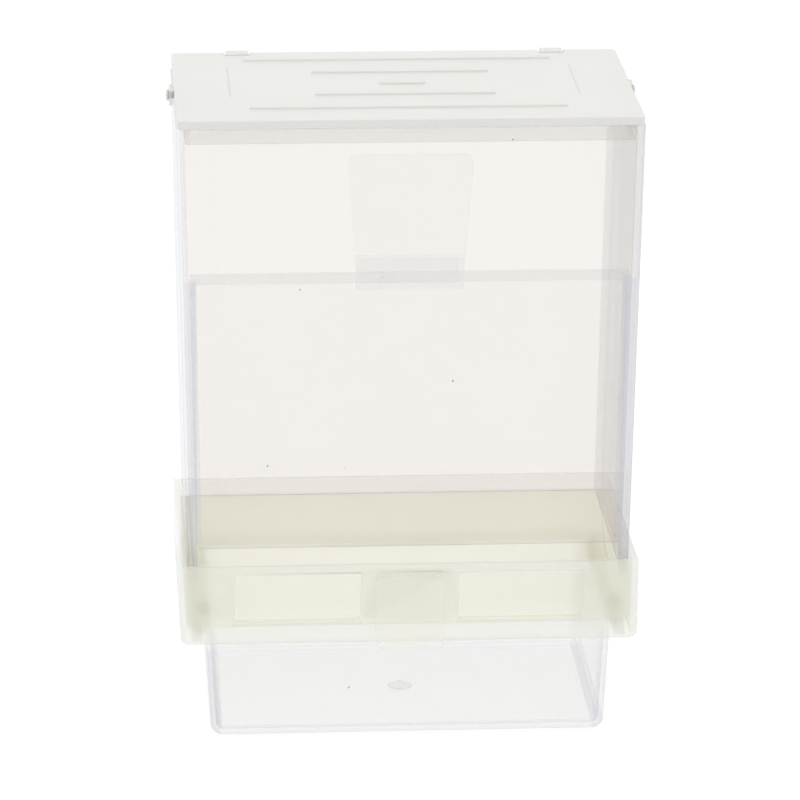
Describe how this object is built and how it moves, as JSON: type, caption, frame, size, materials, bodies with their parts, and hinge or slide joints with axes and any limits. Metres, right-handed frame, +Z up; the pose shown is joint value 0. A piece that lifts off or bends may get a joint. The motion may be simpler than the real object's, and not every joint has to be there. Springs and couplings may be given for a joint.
{
  "type": "hopper feeder",
  "caption": "Clear hopper feeder for small caged animals: hinged lid, sliding feed gate, feeding tray with front ports and a catch drawer.",
  "frame": {"origin": "centre of the bounding box on the surface the feeder stands on, which is the drawer's underside", "axes": "+Z up, -Y towards the feeding side with the ports, +X to the right seen from the feeding side"},
  "size_m": [0.1552, 0.0992, 0.2115],
  "materials": {
    "clear_hopper": "clear moulded plastic, smooth",
    "clear_gate": "clear moulded plastic, smooth",
    "frosted_lid": "frosted, faintly green translucent plastic",
    "frosted_tray": "frosted translucent plastic",
    "tinted_trough": "pale yellow-green translucent plastic",
    "clear_drawer": "clear to faintly milky plastic, smooth",
    "pin_plastic": "smooth plastic",
    "stud_plastic": "grey plastic"
  },
  "bodies": {
    "tray": {"tray_housing": "frosted_tray", "trough_insert": "tinted_trough", "trough_stud_left": "tinted_trough", "trough_stud_right": "tinted_trough", "drawer_runner_left": "frosted_tray", "drawer_runner_right": "frosted_tray"},
    "hopper": {"hopper_shell": "clear_hopper", "hinge_lug_left": "clear_hopper", "hinge_lug_right": "clear_hopper", "side_ear_left": "clear_hopper", "side_ear_right": "clear_hopper", "gate_rail_left": "clear_hopper", "gate_rail_right": "clear_hopper", "lid_hinge_pin_left": "pin_plastic", "lid_hinge_pin_right": "pin_plastic", "side_stud_left": "stud_plastic", "side_stud_right": "stud_plastic"},
    "lid": {"lid": "frosted_lid"},
    "gate": {"feed_gate": "clear_gate", "gate_grip": "clear_gate"},
    "drawer": {"catch_drawer": "clear_drawer"},
    "latch": {"front_latch": "tinted_trough"}
  },
  "joints": [
    {"name": "hopper_lift", "type": "slide", "parent": "tray", "child": "hopper", "axis": [0, 0, 1], "range_m": [0, 0.03]},
    {"name": "lid_hinge", "type": "hinge", "parent": "hopper", "child": "lid", "pos_m": [0, 0.0472, 0.20915], "axis": [-1, 0, 0], "range_deg": [0, 105]},
    {"name": "gate_slide", "type": "slide", "parent": "hopper", "child": "gate", "axis": [0, 0, -1], "range_m": [0, 0.024]},
    {"name": "drawer_slide", "type": "slide", "parent": "tray", "child": "drawer", "axis": [0, 1, 0], "range_m": [0, 0.075]},
    {"name": "latch_flex", "type": "hinge", "parent": "tray", "child": "latch", "pos_m": [0, -0.0488, 0.0577], "axis": [-1, 0, 0], "range_deg": [0, 14], "stiffness_Nm_per_rad": 0.02}
  ]
}
